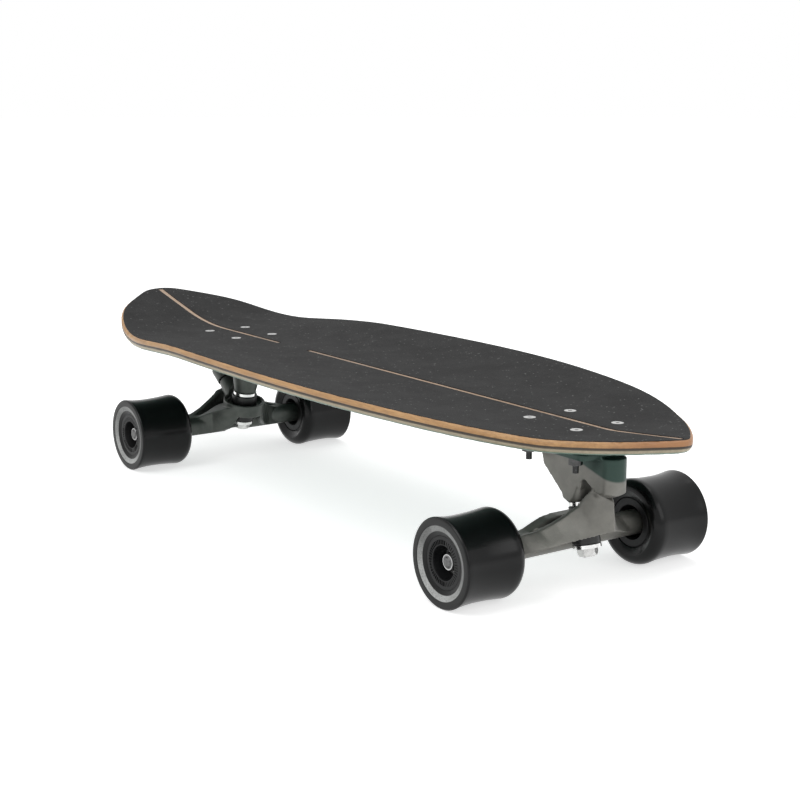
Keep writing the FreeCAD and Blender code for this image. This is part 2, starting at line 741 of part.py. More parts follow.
def core(truck):
    """The stiff hub: two bearing seats and a stop between them."""
    y_in, y_out = wheel_inner_y + core_inset, wheel_outer_y - core_inset
    seat_in, seat_out = inner_bearing_y, outer_washer_y
    stop_in, stop_out = inner_bearing_y + bearing_width, outer_bearing_y
    stop = bearing_radius - 1.2
    return turned(truck, [
        (seat_in, bearing_radius), (stop_in, bearing_radius), (stop_in, stop), (stop_out, stop),
        (stop_out, bearing_radius), (seat_out, bearing_radius), (seat_out, hub_radius - 0.8),
        (y_out - 1.2, hub_radius + 0.2), (y_out, hub_radius + 1.2), (y_out, core_radius - 0.8),
        (y_out - 0.8, core_radius), (y_in + 0.8, core_radius), (y_in, core_radius - 0.8),
        (y_in, hub_radius + 1.2), (y_in + 1.2, hub_radius + 0.2), (seat_in, hub_radius - 0.8),
    ])


def outer_race(truck, y):
    race = collar(truck, y, outer_race_radius, bearing_radius - press_gap, bearing_width)
    return race.cut(ball_track(truck, y))


def shields(truck, y):
    """The two thin rings that close a bearing."""
    inner, outer = inner_race_radius + shield_gap, outer_race_radius - press_gap
    far = y + bearing_width - shield_inset - shield_thickness
    starts = (y + shield_inset, far)
    return [collar(truck, start, inner, outer, shield_thickness) for start in starts]


def ball_set(truck, y):
    """The balls of one bearing and the cage that spaces them."""
    hub = truck.at(0, 0, y + bearing_width / 2)
    spots = [hub + polar(360.0 * i / ball_count, ball_circle) for i in range(ball_count)]
    inner, outer = ball_circle - cage_half_thickness, ball_circle + cage_half_thickness
    start = y + bearing_width / 2 - cage_half_width
    cage = collar(truck, start, inner, outer, 2 * cage_half_width)
    pocket = ball_radius + groove_gap
    cage = cage.cut([rod(hub, spot - hub, pocket, ball_circle + 2) for spot in spots])
    return [cage] + [Part.makeSphere(ball_radius, spot) for spot in spots]


def make_wheels(truck):
    starts = bearing_starts()
    groups = {
        "tyre": [tyre(truck)],
        "core": [core(truck)],
        "bearing_outer_rings": [outer_race(truck, y) for y in starts],
        "bearing_shields": [shield for y in starts for shield in shields(truck, y)],
        "ball_sets": [piece for y in starts for piece in ball_set(truck, y)],
    }
    for kind, left in groups.items():
        export(f"{truck.name}_left_{kind}", left)
        export(f"{truck.name}_right_{kind}", [mirrored(s) for s in left])


def main():
    os.makedirs("parts", exist_ok=True)
    make_deck()
    for truck in (front, rear):
        make_base(truck)
        make_kingpin(truck)
        make_bushings(truck)
        make_pivot_cup(truck)
        make_hanger(truck)
        make_axle(truck)
        make_wheels(truck)


main()
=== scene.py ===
"""Looks of a surf skateboard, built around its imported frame."""

import json
import logging
import math
from dataclasses import dataclass
from enum import Enum
from typing import Any

import bmesh
import bpy
from mathutils import Matrix, Vector
from mathutils.bvhtree import BVHTree
from mathutils.kdtree import KDTree

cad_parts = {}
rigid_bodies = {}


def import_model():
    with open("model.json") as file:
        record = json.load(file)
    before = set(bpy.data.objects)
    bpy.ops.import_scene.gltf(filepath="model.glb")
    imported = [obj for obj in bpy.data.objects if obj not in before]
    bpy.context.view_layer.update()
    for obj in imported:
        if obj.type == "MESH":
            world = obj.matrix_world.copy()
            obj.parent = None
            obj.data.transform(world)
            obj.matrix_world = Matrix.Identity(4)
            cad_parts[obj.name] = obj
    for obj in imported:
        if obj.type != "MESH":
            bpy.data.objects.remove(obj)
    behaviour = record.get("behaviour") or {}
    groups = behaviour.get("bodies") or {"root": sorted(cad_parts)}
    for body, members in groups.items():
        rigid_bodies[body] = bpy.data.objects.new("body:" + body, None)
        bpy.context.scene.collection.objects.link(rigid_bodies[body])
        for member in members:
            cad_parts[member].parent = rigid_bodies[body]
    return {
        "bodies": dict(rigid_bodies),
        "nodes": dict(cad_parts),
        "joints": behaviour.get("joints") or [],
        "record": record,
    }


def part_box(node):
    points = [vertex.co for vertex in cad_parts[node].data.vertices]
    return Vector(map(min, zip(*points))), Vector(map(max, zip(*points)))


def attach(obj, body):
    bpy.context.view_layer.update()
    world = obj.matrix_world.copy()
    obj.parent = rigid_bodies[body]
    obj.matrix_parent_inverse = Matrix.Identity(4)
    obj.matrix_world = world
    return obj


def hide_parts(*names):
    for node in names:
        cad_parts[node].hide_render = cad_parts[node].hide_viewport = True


log = logging.getLogger("surf_skateboard")

Rgb = tuple[float, float, float]

SHARP_DEGREES = 35


class End(Enum):
    """The two ends of the board that carry a truck."""

    FRONT = "front"
    REAR = "rear"


class Side(Enum):
    """The two sides of the board, with the sign of Y there."""

    LEFT = 1
    RIGHT = -1


class Field:
    """A shader number that can be used in Python expressions."""

    def __init__(self, painter: "Painter", socket: bpy.types.NodeSocket) -> None:
        """Wraps a socket.

        Args:
            painter: the material builder that the socket belongs to.
            socket: the output socket to wrap.
        """
        self.painter = painter
        self.socket = socket

    def _math(self, operation: str, *numbers: Any) -> "Field":
        """Adds a Math node.

        Args:
            operation: the Math node's operation.
            numbers: its inputs, in order.

        Returns:
            The result as a Field.
        """
        inputs = dict(enumerate(numbers))
        return self.painter.field("ShaderNodeMath", {"operation": operation}, inputs)

    def __add__(self, other: Any) -> "Field":
        """self + other."""
        return self._math("ADD", self, other)

    def __radd__(self, other: Any) -> "Field":
        """other + self."""
        return self._math("ADD", other, self)

    def __sub__(self, other: Any) -> "Field":
        """self - other."""
        return self._math("SUBTRACT", self, other)

    def __rsub__(self, other: Any) -> "Field":
        """other - self."""
        return self._math("SUBTRACT", other, self)

    def __mul__(self, other: Any) -> "Field":
        """self * other."""
        return self._math("MULTIPLY", self, other)

    def __rmul__(self, other: Any) -> "Field":
        """other * self."""
        return self._math("MULTIPLY", other, self)

    def __truediv__(self, other: Any) -> "Field":
        """self / other."""
        return self._math("DIVIDE", self, other)

    def __pow__(self, other: Any) -> "Field":
        """self ** other."""
        return self._math("POWER", self, other)

    def __abs__(self) -> "Field":
        """The distance from zero."""
        return self._math("ABSOLUTE", self)

    def sine(self) -> "Field":
        """The sine of the number, in radians."""
        return self._math("SINE", self)

    def rise(self, low: float, high: float) -> "Field":
        """A smooth step.

        Args:
            low: where the step starts, at 0.
            high: where it ends, at 1.

        Returns:
            The step as a Field.
        """
        return self.painter.field(
            "ShaderNodeMapRange",
            {"interpolation_type": "SMOOTHSTEP"},
            {"Value": self, "From Min": low, "From Max": high},
        )

    def band(self, low: float, high: float, soft: float) -> "Field":
        """One between two numbers and zero outside them.

        Args:
            low: the band's lower edge.
            high: its upper edge.
            soft: how wide each edge is.

        Returns:
            The band as a Field.
        """
        return self.rise(low - soft, low + soft) * (1 - self.rise(high - soft, high + soft))


class Painter:
    """Builds the node tree of one material."""

    def __init__(self, name: str) -> None:
        """Starts a material with a Principled shader.

        Args:
            name: the material's name.
        """
        self.material = bpy.data.materials.new(name)
        self.material.use_nodes = True
        self.tree = self.material.node_tree
        self.tree.nodes.clear()
        self.shader = self.node("ShaderNodeBsdfPrincipled", {}, {})
        out = self.node("ShaderNodeOutputMaterial", {}, {})
        self.tree.links.new(self.shader.outputs[0], out.inputs["Surface"])
        self.place = self.node("ShaderNodeTexCoord", {}, {}).outputs["Object"]

    def node(self, kind: str, settings: dict[str, Any], inputs: dict[Any, Any]) -> bpy.types.Node:
        """Adds any node.

        Args:
            kind: the node's type.
            settings: its own settings.
            inputs: values or links for its sockets, by name or place.

        Returns:
            The node.
        """
        node = self.tree.nodes.new(kind)
        for key, value in settings.items():
            setattr(node, key, value)
        for key, value in inputs.items():
            self.feed(node.inputs[key], value)
        return node

    def feed(self, socket: bpy.types.NodeSocket, value: Any) -> None:
        """Sets a socket, or links to it.

        Args:
            socket: the input socket.
            value: a Field, an output socket, a number, a colour or a vector.
        """
        if isinstance(value, Field):
            self.tree.links.new(value.socket, socket)
        elif isinstance(value, bpy.types.NodeSocket):
            self.tree.links.new(value, socket)
        elif socket.type == "RGBA" and len(value) == 3:
            socket.default_value = (*value, 1.0)
        else:
            socket.default_value = value

    def field(self, kind: str, settings: dict[str, Any], inputs: dict[Any, Any]) -> Field:
        """Adds a node and wraps its first output."""
        return Field(self, self.node(kind, settings, inputs).outputs[0])

    def stretched(self, scale: Rgb) -> bpy.types.NodeSocket:
        """Object coordinates, scaled on each axis.

        Args:
            scale: the scale on X, Y and Z.

        Returns:
            The vector socket.
        """
        return self.node(
            "ShaderNodeVectorMath", {"operation": "MULTIPLY"}, {0: self.place, 1: scale}
        ).outputs[0]

    def axes(self) -> tuple[Field, Field, Field]:
        """Object coordinates as three numbers, in metres."""
        split = self.node("ShaderNodeSeparateXYZ", {}, {0: self.place})
        return tuple(Field(self, split.outputs[i]) for i in range(3))

    def noise(
        self, size: float, detail: float = 2.0, rough: float = 0.5, scale: Rgb = (1.0, 1.0, 1.0)
    ) -> Field:
        """Cloudy noise from 0 to 1.

        Args:
            size: the size of its features, in metres.
            detail: how many finer layers it has.
            rough: how strong the finer layers are.
            scale: a stretch on each axis.

        Returns:
            The noise as a Field.
        """
        where = self.stretched(tuple(s / size for s in scale))
        return self.field(
            "ShaderNodeTexNoise", {},
            {"Vector": where, "Scale": 1.0, "Detail": detail, "Roughness": rough},
        )

    def cells(self, size: float) -> Field:
        """Distance to the nearest of many scattered points.

        Args:
            size: how far apart the points are, in metres.

        Returns:
            The distance as a Field, in steps of the size.
        """
        where = self.stretched((1 / size, 1 / size, 1 / size))
        return self.field("ShaderNodeTexVoronoi", {}, {"Vector": where, "Scale": 1.0})

    def mix(self, share: Any, low: Any, high: Any) -> bpy.types.NodeSocket:
        """Mixes two colours.

        Args:
            share: how much of the second one, from 0 to 1.
            low: the first colour or link.
            high: the second colour or link.

        Returns:
            The colour socket.
        """
        node = self.node("ShaderNodeMix", {"data_type": "RGBA"}, {0: share, 6: low, 7: high})
        return node.outputs[2]

    def bump(self, height: Field, depth: float, strength: float = 1.0) -> bpy.types.NodeSocket:
        """A bumped normal.

        Args:
            height: the height pattern, from 0 to 1.
            depth: what 1 stands for, in metres.
            strength: how much of it is used.

        Returns:
            The normal socket.
        """
        node = self.node(
            "ShaderNodeBump", {}, {"Strength": strength, "Distance": depth, "Height": height}
        )
        return node.outputs[0]

    def reach(self, axle: tuple[float, float]) -> Field:
        """Distance from an axle that runs across the board.

        Args:
            axle: where it runs, in X and Z.

        Returns:
            The distance as a Field, in metres.
        """
        x, _, z = self.axes()
        dx, dz = x - axle[0], z - axle[1]
        return (dx * dx + dz * dz) ** 0.5

    def worn(self) -> Field:
        """One on sharp outer edges and zero elsewhere."""
        geometry = self.node("ShaderNodeNewGeometry", {}, {})
        return Field(self, geometry.outputs["Pointiness"]).rise(0.515, 0.6)

    def paint(self, **sockets: Any) -> bpy.types.Material:
        """Feeds the shader and gives the material.

        Args:
            sockets: the shader's sockets, with _ for a space in their names.

        Returns:
            The finished material.
        """
        for key, value in sockets.items():
            self.feed(self.shader.inputs[key.replace("_", " ")], value)
        return self.material


@dataclass(frozen=True)
class Grit:
    """The coarse sheet under the feet: matte, with pale grains and painted shade in its pits."""

    base: Rgb = (0.034, 0.034, 0.034)
    shade: Rgb = (0.019, 0.019, 0.019)
    grain: Rgb = (0.34, 0.34, 0.34)
    pit_shade: Rgb = (0.008, 0.008, 0.008)
    grain_size: float = 0.0011
    speck_share: float = 0.28
    pit_shade_share: float = 0.5

    def material(self) -> bpy.types.Material:
        """Builds the finish."""
        p = Painter("grit_sheet")
        cloud = p.noise(0.028, 4.0, 0.65)
        fine = p.noise(0.0016, 3.0, 0.7)
        patchy = cloud.rise(0.32, 0.68) * 0.55 + fine.rise(0.3, 0.7) * 0.45
        ground = p.mix(patchy, self.shade, self.base)
        speck = 1 - p.cells(self.grain_size * 3.6).rise(0.08, 0.24)
        speck = speck * p.noise(0.007, 1.0).rise(0.50, 0.60)
        # Painted shade: dark spots where the sheet has pits.
        pit = 1 - p.cells(self.grain_size * 2.6).rise(0.10, 0.30)
        pit = pit * p.noise(0.004, 1.0).rise(0.48, 0.60)
        colour = p.mix(pit * self.pit_shade_share, ground, self.pit_shade)
        colour = p.mix(speck * self.speck_share, colour, self.grain)
        grains = 1 - p.cells(self.grain_size).rise(0.1, 0.75)
        return p.paint(
            Base_Color=colour, Roughness=0.93 - speck * 0.4, Specular_IOR_Level=0.25,
            Normal=p.bump(grains * 0.7 + fine * 0.3, 0.00035, 0.9),
        )


@dataclass(frozen=True)
class Wood:
    """A bare or stained ply with long grain along the board.

    The bands give a low and a high depth below the top of the wood, and the colour between them.
    """

    name: str
    light: Rgb
    dark: Rgb
    pore: Rgb
    sheet: float = 0.0
    rough: float = 0.5
    coat: float = 0.25
    bands: tuple[tuple[float, float, Rgb], ...] = ()
    band_soft: float = 0.00012
    nose_x: float = 0.0
    nose: Rgb = (0.34, 0.135, 0.055)

    def material(self) -> bpy.types.Material:
        """Builds the finish."""
        p = Painter(self.name)
        broad = p.noise(0.012, 3.0, 0.6, (0.10, 1.0, 1.4))
        streak = p.noise(0.0016, 4.0, 0.62, (0.05, 1.0, 1.0))
        flame = p.noise(0.06, 2.0, 0.5, (0.45, 1.0, 1.0))
        grain = streak.rise(0.3, 0.72)
        colour = p.mix(broad.rise(0.3, 0.7) * 0.7 + flame * 0.3, self.dark, self.light)
        colour = p.mix((1 - grain) * 0.45, colour, self.pore)
        if self.nose_x > 0:
            ahead = p.axes()[0].rise(self.nose_x, self.nose_x + 0.05)
            colour = p.mix(ahead * (0.35 + streak * 0.5), colour, self.nose)
        if self.sheet > 0:
            held = p.node("ShaderNodeAttribute", {"attribute_name": "depth"}, {})
            depth = Field(p, held.outputs["Fac"])
            for low, high, tone in self.bands:
                band = depth.band(low, high, self.band_soft)
                colour = p.mix(band * (0.75 + streak * 0.25), colour, tone)
            lines = abs((depth * (math.pi / self.sheet)).sine())
            colour = p.mix((1 - lines.rise(0.0, 0.35)) * 0.30, colour, self.pore)
        return p.paint(
            Base_Color=colour, Roughness=self.rough + grain * 0.12, Coat_Weight=self.coat,
            Coat_Roughness=0.3, Normal=p.bump(streak, 0.00012, 0.5),
        )


@dataclass(frozen=True)
class CastMetal:
    """Tumbled cast alloy: satin, faintly mottled, brighter where edges are rubbed and, as painted
    highlight, where crests catch the light.
    """

    name: str
    base: Rgb
    shade: Rgb
    edge: Rgb
    # The next three fields paint a dark teal cap on the top of the base: a painted reflection of
    # the deck's teal underside and painted shade below the deck.
    reflected_shade_z: float = 1.0
    reflected_shade_x: float = 0.0
    reflected_teal_shade: Rgb = (0.011, 0.040, 0.031)
    rough: float = 0.42
    metallic: float = 0.55

    def material(self) -> bpy.types.Material:
        """Builds the finish."""
        p = Painter(self.name)
        cloud = p.noise(0.014, 4.0, 0.6)
        skin = p.noise(0.0011, 3.0, 0.65)
        pits = p.cells(0.0024)
        ground = p.mix(cloud.rise(0.3, 0.7), self.shade, self.base)
        # Sharp edges move towards the edge colour: partly wear, partly painted highlight on the
        # crests.
        rubbed_and_highlit = p.worn() * p.noise(0.004, 3.0, 0.6).rise(0.3, 0.62)
        colour = p.mix(rubbed_and_highlit * 0.55, ground, self.edge)
        # Painted reflection and shade: a dark teal cap over the top of the base near its nose.
        if self.reflected_shade_z < 1.0:
            x, _, z = p.axes()
            high = (z + (x - self.reflected_shade_x) * 0.28).rise(self.reflected_shade_z, self.reflected_shade_z + 0.0022)
            ahead = x.rise(self.reflected_shade_x - 0.010, self.reflected_shade_x - 0.004)
            colour = p.mix(high * ahead * 0.9, colour, self.reflected_teal_shade)
        rough = self.rough + (cloud - 0.5) * 0.16 + (skin - 0.5) * 0.12 - rubbed_and_highlit * 0.08
        return p.paint(
            Base_Color=colour, Metallic=self.metallic, Roughness=rough,
            Normal=p.bump(skin * 0.6 + pits.rise(0.0, 0.4) * 0.4, 0.00016, 0.55),
        )


@dataclass(frozen=True)
class Steel:
    """Turned or plated steel with fine tool marks."""

    name: str
    base: Rgb
    shade: Rgb
    rough: float
    grime: Rgb = (0.05, 0.05, 0.05)
    dirt: float = 0.25

    def material(self) -> bpy.types.Material:
        """Builds the finish."""
        p = Painter(self.name)
        cloud = p.noise(0.005, 4.0, 0.6)
        marks = p.noise(0.0006, 2.0, 0.6, (1.0, 4.0, 1.0))
        colour = p.mix(cloud.rise(0.3, 0.7), self.shade, self.base)
        colour = p.mix(p.noise(0.003, 4.0, 0.7).rise(0.58, 0.75) * self.dirt, colour, self.grime)
        return p.paint(
            Base_Color=colour, Metallic=1.0,
            Roughness=self.rough + (cloud - 0.5) * 0.16 + marks * 0.06,
            Normal=p.bump(marks, 0.00003, 0.5),
        )


@dataclass(frozen=True)
class TurnedSteel:
    """Lathe-cut steel round an axle, with ring marks and one bright ring: polished on the bearing
    shields, and on the axle nuts a painted highlight on their rim.
    """

    name: str
    axle: tuple[float, float]
    base: Rgb
    shade: Rgb
    polish_and_highlight: Rgb
    ring_low: float
    ring_high: float
    metallic: float = 0.6
    pitch: float = 0.0009

    def material(self) -> bpy.types.Material:
        """Builds the finish."""
        p = Painter(self.name)
        reach = p.reach(self.axle)
        cut = (reach * (2 * math.pi / self.pitch)).sine() * 0.5 + 0.5
        cloud = p.noise(0.0016, 4.0, 0.65)
        ground = p.mix(cloud.rise(0.35, 0.65) * 0.6 + cut * 0.4, self.shade, self.base)
        # The bright ring: on the axle nuts, a painted highlight on their rim.
        ring = reach.band(self.ring_low, self.ring_high, 0.00015)
        return p.paint(
            Base_Color=p.mix(ring, ground, self.polish_and_highlight), Metallic=self.metallic,
            Roughness=0.36 + (cloud - 0.5) * 0.24 - ring * 0.12,
            Normal=p.bump(cut * 0.6 + cloud * 0.4, 0.00006, 0.6),
        )


@dataclass(frozen=True)
class BoltSteel:
    """A deck bolt: bright on its head and black below the deck."""

    change_z: float
    bright: Rgb = (0.62, 0.62, 0.61)
    black: Rgb = (0.035, 0.036, 0.036)

    def material(self) -> bpy.types.Material:
        """Builds the finish."""
        p = Painter("deck_bolt_steel")
        high = p.axes()[2].rise(self.change_z - 0.001, self.change_z + 0.001)
        cloud = p.noise(0.002, 3.0, 0.6)
        worn = p.noise(0.0012, 3.0, 0.7).rise(0.58, 0.7)
        dark = p.mix(worn * 0.35, self.black, (0.18, 0.18, 0.18))
        light = p.mix(cloud * 0.6, self.bright, (0.40, 0.40, 0.40))
        return p.paint(
            Base_Color=p.mix(high, dark, light), Metallic=0.9,
            Roughness=0.34 + (cloud - 0.5) * 0.2,
            Normal=p.bump(p.noise(0.0005, 2.0), 0.00004, 0.6),
        )


@dataclass(frozen=True)
class Rubber:
    """A plain soft or moulded black or coloured part."""

    name: str
    base: Rgb
    shade: Rgb
    rough: float = 0.5
    specular: float = 0.4

    def material(self) -> bpy.types.Material:
        """Builds the finish."""
        p = Painter(self.name)
        cloud = p.noise(0.006, 3.0, 0.6)
        skin = p.noise(0.0007, 2.0, 0.5)
        return p.paint(
            Base_Color=p.mix(cloud, self.shade, self.base),
            Roughness=self.rough + (cloud - 0.5) * 0.2,
            Specular_IOR_Level=self.specular,
            Normal=p.bump(skin, 0.00005, 0.6),
        )


@dataclass(frozen=True)
class WheelFinish:
    """Glossy black tread, a satin side band, and a plain printed ring on the outer side."""

    end: End
    axle: tuple[float, float]
    outer_y: float
    tread: Rgb = (0.0030, 0.0032, 0.0034)
    side: Rgb = (0.0085, 0.0090, 0.0088)
    print_colour: Rgb = (0.52, 0.53, 0.52)
    print_low: float = 0.0241
    print_high: float = 0.0285

    def material(self) -> bpy.types.Material:
        """Builds the finish."""
        p = Painter(f"{self.end.value}_wheel_urethane")
        x, y, z = p.axes()
        reach = p.reach(self.axle)
        outer = abs(y).rise(self.outer_y - 0.0048, self.outer_y - 0.0040)
        face = outer * (1 - reach.rise(0.0339, 0.0344))
        ring = face * reach.band(self.print_low, self.print_high, 0.00012)
        patch = p.noise(0.016, 2.0, 0.5).rise(0.30, 0.66)
        fleck = p.noise(0.0009, 3.0, 0.7).rise(0.34, 0.54)
        inner = face * (1 - reach.rise(self.print_low - 0.0006, self.print_low - 0.0004))
        low = 1 - ((x - self.axle[0]) * 0.5 + (z - self.axle[1])).rise(-0.024, 0.004)
        ink = ring * (0.36 + patch * 0.22 + low * 0.42) * (0.55 + fleck * 0.45)
        cloud = p.noise(0.012, 3.0, 0.6)
        ground = p.mix(face * (0.8 + cloud * 0.4) * (1 - inner * 0.7), self.tread, self.side)
        rough = 0.20 + face * 0.18 + (cloud - 0.5) * 0.10 + ink * 0.15
        return p.paint(
            Base_Color=p.mix(ink, ground, self.print_colour),
            Roughness=rough, Specular_IOR_Level=0.22,
            Normal=p.bump(p.noise(0.0008, 2.0, 0.5) + ink * 0.6, 0.00004, 0.5),
        )


@dataclass(frozen=True)
class CoreFinish:
    """The moulded black hub, darker and glossier than the tyre's side."""

    end: End
    base: Rgb = (0.0085, 0.0090, 0.0095)
    shade: Rgb = (0.0030, 0.0030, 0.0034)

    def material(self) -> bpy.types.Material:
        """Builds the finish."""
        p = Painter(f"{self.end.value}_wheel_hub")
        cloud = p.noise(0.004, 4.0, 0.65)
        fine = p.noise(0.0009, 3.0, 0.6)
        return p.paint(
            Base_Color=p.mix(cloud.rise(0.3, 0.7) * 0.6 + fine * 0.4, self.shade, self.base),
            Roughness=0.30 + cloud * 0.2, Specular_IOR_Level=0.22,
            Normal=p.bump(fine, 0.00008, 0.6),
        )


class Frame:
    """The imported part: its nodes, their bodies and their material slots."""

    def __init__(self, loaded: dict[str, Any]) -> None:
        """Keeps the loaded frame.
        """
        self.nodes: dict[str, bpy.types.Object] = loaded["nodes"]
        behaviour = loaded["record"]["behaviour"]["bodies"]
        self.body_of = {n: body for body, nodes in behaviour.items() for n in nodes}
        parts = loaded["record"]["subparts"]
        self.slot_of = {row["node"]: row["material_slot"] for row in parts}
        self.dressed: set[str] = set()

    def dress(self, name: str, material: bpy.types.Material) -> None:
        """Gives a carried-over node its finish.

        Args:
            name: the node.
            material: its new material.
        """
        node = self.nodes[name]
        if not node.material_slots:
            node.data.materials.append(material)
        for slot in node.material_slots:
            slot.material = material
        self.dressed.add(name)

    def merged(self, name: str) -> bmesh.types.BMesh:
        """A copy of a node's mesh with its loose corners merged.

        Args:
            name: the node.

        Returns:
            The new mesh, for the caller to shape and free.
        """
        bm = bmesh.new()
        bm.from_mesh(self.nodes[name].data)
        bmesh.ops.remove_doubles(bm, verts=bm.verts, dist=2e-6)
        return bm

    def stand_in(
        self, bm: bmesh.types.BMesh, name: str, material: bpy.types.Material
    ) -> bpy.types.Object:
        """Turns a finished mesh into the piece that replaces a node.

        Args:
            bm: the finished mesh, which is freed.
            name: the node it replaces.
            material: its finish.

        Returns:
            The new piece.
        """
        for face in bm.faces:
            face.smooth = True
        mesh = bpy.data.meshes.new(name + "_look")
        bm.to_mesh(mesh)
        bm.free()
        piece = bpy.data.objects.new(name + "_look", mesh)
        bpy.context.scene.collection.objects.link(piece)
        mesh.materials.clear()
        mesh.materials.append(material)
        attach(piece, self.body_of[name])
        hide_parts(name)
        self.dressed.add(name)
        log.info("%s: %d faces", piece.name, len(mesh.polygons))
        return piece


def axle_of(wheel: str) -> tuple[float, float]:
    """Where a wheel's axle runs.

    Args:
        wheel: the wheel, such as front_left.

    Returns:
        Its place in X and Z, in metres.
    """
    low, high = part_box(f"{wheel}_tyre")
    return (low.x + high.x) / 2, (low.z + high.z) / 2


def applied(piece: bpy.types.Object) -> None:
    """Applies a piece's modifiers to its mesh.

    Args:
        piece: the piece, which keeps its name and its material.
    """
    graph = bpy.context.evaluated_depsgraph_get()
    mesh = bpy.data.meshes.new_from_object(piece.evaluated_get(graph))
    old = piece.data
    mesh.name = old.name + "_final"
    piece.modifiers.clear()
    piece.data = mesh
    bpy.data.meshes.remove(old)
    for face in mesh.polygons:
        face.use_smooth = True


@dataclass
class Deck:
    """The plywood deck, its grip sheet, its bolts and the pads below it. Lengths are in metres."""

    frame: Frame
    tan: float = 0.0045
    brown: float = 0.0012
    pale: float = 0.0040
    teal: float = 0.0009
    top_round: float = 0.0022
    low_round: float = 0.0048
    nose_round: float = 0.0034
    bolt_half_y: float = 0.030
    bolt_reach_x: float = 0.330
    clear: float = 0.0095
    cuts: int = 4
    probe: float = 0.0005
    skin_slope: float = 0.4

    def inset(self, depth: float, forward: float) -> float:
        """How far the rounded rail stands back at a depth.

        Args:
            depth: the distance below the top of the wood.
            forward: how far the rail faces the nose, from -1 to 1.

        Returns:
            The distance inward from the outline.
        """
        whole = self.tan + self.brown + self.pale + self.teal
        nose = max(forward, 0.0) ** 2
        high, low = self.top_round, self.low_round + self.nose_round * nose
        above = high - depth
        below = depth - (whole - low)
        if above > 0:
            return high - math.sqrt(max(high ** 2 - above ** 2, 0.0))
        if below > 0:
            return low - math.sqrt(max(low ** 2 - below ** 2, 0.0))
        return 0.0

    def near_bolts(self, place: Vector) -> bool:
        """Whether a place is among the bolt holes."""
        return abs(place.y) < self.bolt_half_y and abs(place.x) < self.bolt_reach_x

    def is_skin(self, face: bmesh.types.BMFace) -> bool:
        """Whether a face belongs to the upper or the lower skin."""
        return abs(face.normal.z) >= self.skin_slope

    def on_rail(self, face: bmesh.types.BMFace) -> bool:
        """Whether a face belongs to the deck's outer wall, not to a skin or a bolt hole."""
        return not self.is_skin(face) and not self.near_bolts(face.calc_center_median())

    def outward(self, vert: bmesh.types.BMVert) -> Vector:
        """Which way the rail faces at a corner, level and of length 1, or zero off the rail."""
        out = Vector((0.0, 0.0, 0.0))
        for face in vert.link_faces:
            if self.on_rail(face):
                out += face.normal * face.calc_area()
        out.z = 0.0
        return out.normalized()

    def depth_at(
        self, vert: bmesh.types.BMVert, out: Vector, skins: BVHTree, top: float, thickness: float
    ) -> float:
        """How far below the top of the wood a corner lies.

        Args:
            vert: the corner.
            out: which way the rail faces there, or zero.
            skins: the layer's faces.
            top: the depth of the layer's upper skin.
            thickness: its thickness.

        Returns:
            The depth, in metres.
        """
        slopes = [f.normal.z for f in vert.link_faces if self.is_skin(f)]
        if slopes or out.length == 0:
            return top if sum(slopes) > 0 else top + thickness
        above = vert.co - out * self.probe
        above.z = 1.0
        hit = skins.ray_cast(above, Vector((0.0, 0.0, -1.0)))[0]
        fall = hit.z - vert.co.z if hit else thickness / 2
        return top + min(max(fall, 0.0), thickness)

    def clear_beside(self, bm: bmesh.types.BMesh, rail: list[bmesh.types.BMVert]) -> None:
        """Dissolves the corners of the skins that lie too near the rail to be folded in.

        Args:
            bm: the layer.
            rail: the corners on its rail.
        """
        kept = set(rail)
        tree = KDTree(len(rail))
        for i, vert in enumerate(rail):
            tree.insert(vert.co, i)
        tree.balance()
        close = [v for v in bm.verts if v not in kept and tree.find(v.co)[2] < self.clear
                 and not self.near_bolts(v.co)]
        bmesh.ops.dissolve_verts(bm, verts=close)
        bmesh.ops.triangulate(bm, faces=[f for f in bm.faces if len(f.verts) > 3])

    def ply(
        self, name: str, top: float, thickness: float, material: bpy.types.Material
    ) -> None:
        """Makes one layer of the deck with the round rail that runs across all of them.

        Args:
            name: the node it replaces.
            top: the depth of its upper skin.
            thickness: its thickness.
            material: its finish.
        """
        bm = self.frame.merged(name)
        floats = bm.verts.layers.float
        for layer in ("depth", "out_x", "out_y"):
            floats.new(layer)
        depth, out_x, out_y = floats["depth"], floats["out_x"], floats["out_y"]
        skins = BVHTree.FromBMesh(bm)
        for vert in bm.verts:
            out = self.outward(vert)
            vert[out_x], vert[out_y] = out.x, out.y
            vert[depth] = self.depth_at(vert, out, skins, top, thickness)
        rail = [v for v in bm.verts if any(self.on_rail(f) for f in v.link_faces)]
        self.clear_beside(bm, rail)
        edges = [e for e in bm.edges if any(self.on_rail(f) for f in e.link_faces)]
        bmesh.ops.subdivide_edges(bm, edges=edges, cuts=self.cuts, use_grid_fill=False)
        bmesh.ops.triangulate(bm, faces=bm.faces)
        for vert in bm.verts:
            out = Vector((vert[out_x], vert[out_y], 0.0))
            if out.length > 0.5:
                out.normalize()
                vert.co -= out * self.inset(vert[depth], out.x)
        floats.remove(floats["out_x"])
        floats.remove(floats["out_y"])
        bm.normal_update()
        piece = self.frame.stand_in(bm, name, material)
        piece.data.set_sharp_from_angle(angle=math.radians(SHARP_DEGREES))

